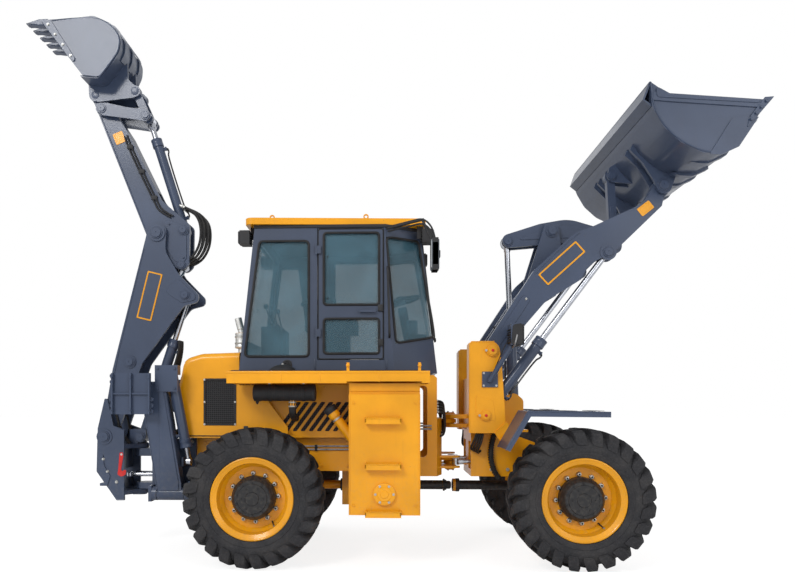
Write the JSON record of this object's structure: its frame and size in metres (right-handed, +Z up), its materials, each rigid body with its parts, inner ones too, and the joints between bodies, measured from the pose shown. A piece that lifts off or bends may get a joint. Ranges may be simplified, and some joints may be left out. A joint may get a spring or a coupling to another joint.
{
  "type": "backhoe loader",
  "caption": "Backhoe loader with a hinged frame, enclosed cab, raised loader arms and bucket at the front and an upright backhoe with stabilisers at the rear.",
  "frame": {"origin": "centre of the bounding box at ground level", "axes": "+X forwards, +Y to the left of the machine, +Z up"},
  "size_m": [6.537, 2.312, 5.0869],
  "materials": {
    "paint_yellow": "gloss",
    "paint_slate": "semi-gloss",
    "paint_cab": "semi-gloss",
    "tyre_rubber": "matt",
    "glass": "clear, tinted",
    "chrome": "bright",
    "black_plastic": "matt"
  },
  "bodies": {
    "root": {"rear_frame": "paint_yellow", "power_train": "paint_yellow", "hood": "paint_yellow", "walkways_and_tanks": "paint_yellow", "cab_shell": "paint_cab", "cab_glass": "glass", "cab_roof": "paint_yellow", "cab_interior": "black_plastic", "cab_lamps_and_mirrors": "black_plastic", "backhoe_mount": "paint_slate"},
    "door": {"cab_door": "paint_cab", "door_glass": "glass"},
    "front": {"front_frame": "paint_yellow", "front_axle": "paint_yellow", "fenders_and_work_lamps": "paint_slate"},
    "arms": {"loader_arms": "paint_slate"},
    "rocker": {"tilt_rocker": "paint_slate"},
    "loader_bucket": {"loader_bucket": "paint_slate"},
    "tilt_link": {"tilt_link": "paint_slate"},
    "lift_barrels": {"lift_barrels": "paint_slate"},
    "lift_rods": {"lift_rods": "chrome"},
    "tilt_barrel": {"tilt_barrel": "paint_slate"},
    "tilt_rod": {"tilt_rod": "chrome"},
    "swing_post": {"swing_post": "paint_slate"},
    "swing_rod_right": {"swing_rod_right": "chrome"},
    "swing_rod_left": {"swing_rod_left": "chrome"},
    "boom": {"boom": "paint_slate"},
    "boom_barrel": {"boom_barrel": "paint_slate"},
    "boom_rod": {"boom_rod": "chrome"},
    "stick": {"stick": "paint_slate"},
    "stick_barrel": {"stick_barrel": "paint_slate"},
    "stick_rod": {"stick_rod": "chrome"},
    "digging_bucket": {"digging_bucket": "paint_slate"},
    "curl_rocker": {"curl_rocker": "paint_slate"},
    "curl_link": {"curl_link": "paint_slate"},
    "curl_barrel": {"curl_barrel": "paint_slate"},
    "curl_rod": {"curl_rod": "chrome"},
    "steer_barrel_right": {"steer_barrel_right": "paint_slate"},
    "steer_rod_right": {"steer_rod_right": "chrome"},
    "stabiliser_leg_right": {"stabiliser_leg_right": "paint_slate"},
    "stabiliser_foot_right": {"stabiliser_foot_right": "paint_slate"},
    "stabiliser_barrel_right": {"stabiliser_barrel_right": "paint_slate"},
    "stabiliser_rod_right": {"stabiliser_rod_right": "chrome"},
    "steer_barrel_left": {"steer_barrel_left": "paint_slate"},
    "steer_rod_left": {"steer_rod_left": "chrome"},
    "stabiliser_leg_left": {"stabiliser_leg_left": "paint_slate"},
    "stabiliser_foot_left": {"stabiliser_foot_left": "paint_slate"},
    "stabiliser_barrel_left": {"stabiliser_barrel_left": "paint_slate"},
    "stabiliser_rod_left": {"stabiliser_rod_left": "chrome"},
    "wheel_rear_right": {"tyre_rear_right": "tyre_rubber", "rim_rear_right": "paint_yellow"},
    "wheel_rear_left": {"tyre_rear_left": "tyre_rubber", "rim_rear_left": "paint_yellow"},
    "wheel_front_right": {"tyre_front_right": "tyre_rubber", "rim_front_right": "paint_yellow"},
    "wheel_front_left": {"tyre_front_left": "tyre_rubber", "rim_front_left": "paint_yellow"}
  },
  "joints": [
    {"name": "wheel_rear_right_spin", "type": "hinge", "parent": "root", "child": "wheel_rear_right", "pos_m": [-0.95, -0.89, 0.595], "axis": [0, 1, 0], "continuous": true},
    {"name": "wheel_rear_left_spin", "type": "hinge", "parent": "root", "child": "wheel_rear_left", "pos_m": [-0.95, 0.89, 0.595], "axis": [0, 1, 0], "continuous": true},
    {"name": "wheel_front_right_spin", "type": "hinge", "parent": "front", "child": "wheel_front_right", "pos_m": [1.8, -0.89, 0.595], "axis": [0, 1, 0], "continuous": true},
    {"name": "wheel_front_left_spin", "type": "hinge", "parent": "front", "child": "wheel_front_left", "pos_m": [1.8, 0.89, 0.595], "axis": [0, 1, 0], "continuous": true},
    {"name": "steering", "type": "hinge", "parent": "root", "child": "front", "pos_m": [0.79, 0, 0.85], "axis": [0, 0, 1], "range_deg": [-36, 36]},
    {"name": "steer_barrel_right_turn", "type": "hinge", "parent": "front", "child": "steer_barrel_right", "pos_m": [1.59, -0.19, 0.85], "axis": [0, 0, 1], "range_deg": [-0.86, 0.86]},
    {"name": "steer_rod_right_slide", "type": "slide", "parent": "steer_barrel_right", "child": "steer_rod_right", "axis": [-0.9969, -0.0782, 0], "range_m": [-0.14965, 0.14965]},
    {"name": "steer_barrel_left_turn", "type": "hinge", "parent": "front", "child": "steer_barrel_left", "pos_m": [1.59, 0.19, 0.85], "axis": [0, 0, 1], "range_deg": [-0.86, 0.86]},
    {"name": "steer_rod_left_slide", "type": "slide", "parent": "steer_barrel_left", "child": "steer_rod_left", "axis": [-0.9969, 0.0782, 0], "range_m": [-0.14965, 0.14965]},
    {"name": "lift", "type": "hinge", "parent": "front", "child": "arms", "pos_m": [1.123, 0, 1.869], "axis": [0, -1, 0], "range_deg": [-87, 6]},
    {"name": "lift_barrel_turn", "type": "hinge", "parent": "front", "child": "lift_barrels", "pos_m": [1.064, 0, 1.287], "axis": [0, -1, 0], "range_deg": [-72.94, 5.22]},
    {"name": "lift_rod_slide", "type": "slide", "parent": "lift_barrels", "child": "lift_rods", "axis": [0.5989, 0, 0.8009], "range_m": [-0.70841, 0.05072]},
    {"name": "tilt_barrel_turn", "type": "hinge", "parent": "front", "child": "tilt_barrel", "pos_m": [1.41, 0, 1.42], "axis": [0, -1, 0], "range_deg": [-70.42, 5.04]},
    {"name": "tilt_rod_slide", "type": "slide", "parent": "tilt_barrel", "child": "tilt_rod", "axis": [-0.0429, 0, 0.9991], "range_m": [-0.63411, 0.04559]},
    {"name": "bucket_tilt", "type": "hinge", "parent": "arms", "child": "loader_bucket", "pos_m": [2.635, 0, 3.336], "axis": [0, 1, 0], "range_deg": [-60, 90]},
    {"name": "tilt_rocker_turn", "type": "hinge", "parent": "arms", "child": "rocker", "pos_m": [1.757, 0, 3.043], "axis": [0, -1, 0], "range_deg": [-11.28, 16.82]},
    {"name": "tilt_link_turn", "type": "hinge", "parent": "loader_bucket", "child": "tilt_link", "pos_m": [2.335, 0, 3.58], "axis": [0, -1, 0], "range_deg": [-28.99, 43.38]},
    {"name": "swing", "type": "hinge", "parent": "root", "child": "swing_post", "pos_m": [-2.25, 0, 0.8], "axis": [0, 0, 1], "range_deg": [-90, 90]},
    {"name": "swing_rod_right_slide", "type": "slide", "parent": "root", "child": "swing_rod_right", "axis": [1, 0, 0], "range_m": [-0.052, 0.052]},
    {"name": "swing_rod_left_slide", "type": "slide", "parent": "root", "child": "swing_rod_left", "axis": [1, 0, 0], "range_m": [-0.052, 0.052]},
    {"name": "boom", "type": "hinge", "parent": "swing_post", "child": "boom", "pos_m": [-2.538, 0, 1.076], "axis": [0, 1, 0], "range_deg": [-100, 0]},
    {"name": "boom_barrel_turn", "type": "hinge", "parent": "swing_post", "child": "boom_barrel", "pos_m": [-2.24, 0, 1.065], "axis": [0, -1, 0], "range_deg": [0, 94.75]},
    {"name": "boom_rod_slide", "type": "slide", "parent": "boom_barrel", "child": "boom_rod", "axis": [0.3138, 0, 0.9495], "range_m": [0, 0.39576]},
    {"name": "stick", "type": "hinge", "parent": "boom", "child": "stick", "pos_m": [-2.059, 0, 3.054], "axis": [0, -1, 0], "range_deg": [0, 100]},
    {"name": "stick_barrel_turn", "type": "hinge", "parent": "boom", "child": "stick_barrel", "pos_m": [-2.323, 0, 1.8], "axis": [0, -1, 0], "range_deg": [0, 5.89]},
    {"name": "stick_rod_slide", "type": "slide", "parent": "stick_barrel", "child": "stick_rod", "axis": [0.458, 0, 0.8889], "range_m": [0, 0.58286]},
    {"name": "digging_bucket", "type": "hinge", "parent": "stick", "child": "digging_bucket", "pos_m": [-2.673, 0, 4.414], "axis": [0, 1, 0], "range_deg": [-130, 0]},
    {"name": "curl_rocker_turn", "type": "hinge", "parent": "stick", "child": "curl_rocker", "pos_m": [-2.6, 0, 4.269], "axis": [0, -1, 0], "range_deg": [0, 114.01]},
    {"name": "curl_link_turn", "type": "hinge", "parent": "digging_bucket", "child": "curl_link", "pos_m": [-2.283, 0, 4.447], "axis": [0, -1, 0], "range_deg": [-68.02, 0]},
    {"name": "curl_barrel_turn", "type": "hinge", "parent": "stick", "child": "curl_barrel", "pos_m": [-1.815, 0, 3.092], "axis": [0, -1, 0], "range_deg": [0, 8.24]},
    {"name": "curl_rod_slide", "type": "slide", "parent": "curl_barrel", "child": "curl_rod", "axis": [-0.3059, 0, 0.9521], "range_m": [0, 0.71934]},
    {"name": "stabiliser_right", "type": "hinge", "parent": "root", "child": "stabiliser_leg_right", "pos_m": [-1.75, -0.66, 0.59], "axis": [-1, 0, 0], "range_deg": [-126, 0]},
    {"name": "stabiliser_foot_right_turn", "type": "hinge", "parent": "stabiliser_leg_right", "child": "stabiliser_foot_right", "pos_m": [-2.057, -0.765, 1.48], "axis": [-1, 0, 0], "range_deg": [0, 36.2]},
    {"name": "stabiliser_barrel_right_turn", "type": "hinge", "parent": "stabiliser_leg_right", "child": "stabiliser_barrel_right", "pos_m": [-1.75, -0.662, 1.69], "axis": [1, 0, 0], "range_deg": [0, 9.35]},
    {"name": "stabiliser_rod_right_slide", "type": "slide", "parent": "stabiliser_barrel_right", "child": "stabiliser_rod_right", "axis": [0.1678, 0.0743, -0.983], "range_m": [0, 0.48746]},
    {"name": "stabiliser_left", "type": "hinge", "parent": "root", "child": "stabiliser_leg_left", "pos_m": [-1.75, 0.66, 0.59], "axis": [1, 0, 0], "range_deg": [-126, 0]},
    {"name": "stabiliser_foot_left_turn", "type": "hinge", "parent": "stabiliser_leg_left", "child": "stabiliser_foot_left", "pos_m": [-2.057, 0.765, 1.48], "axis": [1, 0, 0], "range_deg": [0, 36.2]},
    {"name": "stabiliser_barrel_left_turn", "type": "hinge", "parent": "stabiliser_leg_left", "child": "stabiliser_barrel_left", "pos_m": [-1.75, 0.662, 1.69], "axis": [-1, 0, 0], "range_deg": [0, 9.35]},
    {"name": "stabiliser_rod_left_slide", "type": "slide", "parent": "stabiliser_barrel_left", "child": "stabiliser_rod_left", "axis": [0.1678, -0.0743, -0.983], "range_m": [0, 0.48746]},
    {"name": "door", "type": "hinge", "parent": "root", "child": "door", "pos_m": [-0.452, -0.656, 2.36], "axis": [0, 0, -1], "range_deg": [0, 100]}
  ],
  "couplings": [
    {"joint": "steer_barrel_right_turn", "follows": "steering", "ratio": 0.018445},
    {"joint": "steer_rod_right_slide", "follows": "steering", "m_per_rad": 0.235},
    {"joint": "steer_barrel_left_turn", "follows": "steering", "ratio": 0.018445},
    {"joint": "steer_rod_left_slide", "follows": "steering", "m_per_rad": -0.235},
    {"joint": "lift_barrel_turn", "follows": "lift", "ratio": 0.83603},
    {"joint": "lift_rod_slide", "follows": "lift", "m_per_rad": 0.46522},
    {"joint": "tilt_barrel_turn", "follows": "lift", "ratio": 0.80716},
    {"joint": "tilt_rod_slide", "follows": "lift", "m_per_rad": 0.41629},
    {"joint": "tilt_rocker_turn", "follows": "bucket_tilt", "ratio": 0.18468},
    {"joint": "tilt_link_turn", "follows": "bucket_tilt", "ratio": 0.47982},
    {"joint": "swing_rod_right_slide", "follows": "swing", "m_per_rad": 0.031831},
    {"joint": "swing_rod_left_slide", "follows": "swing", "m_per_rad": -0.031831},
    {"joint": "boom_barrel_turn", "follows": "boom", "ratio": -0.94552},
    {"joint": "boom_rod_slide", "follows": "boom", "m_per_rad": -0.2256},
    {"joint": "stick_barrel_turn", "follows": "stick", "ratio": 0.056869},
    {"joint": "stick_rod_slide", "follows": "stick", "m_per_rad": 0.33281},
    {"joint": "curl_rocker_turn", "follows": "digging_bucket", "ratio": -0.87545},
    {"joint": "curl_link_turn", "follows": "digging_bucket", "ratio": 0.52172},
    {"joint": "curl_barrel_turn", "follows": "digging_bucket", "ratio": -0.061842},
    {"joint": "curl_rod_slide", "follows": "digging_bucket", "m_per_rad": -0.31616},
    {"joint": "stabiliser_foot_right_turn", "follows": "stabiliser_right", "ratio": -0.28571},
    {"joint": "stabiliser_barrel_right_turn", "follows": "stabiliser_right", "ratio": -0.072649},
    {"joint": "stabiliser_rod_right_slide", "follows": "stabiliser_right", "m_per_rad": -0.22075},
    {"joint": "stabiliser_foot_left_turn", "follows": "stabiliser_left", "ratio": -0.28571},
    {"joint": "stabiliser_barrel_left_turn", "follows": "stabiliser_left", "ratio": -0.072649},
    {"joint": "stabiliser_rod_left_slide", "follows": "stabiliser_left", "m_per_rad": -0.22075}
  ]
}
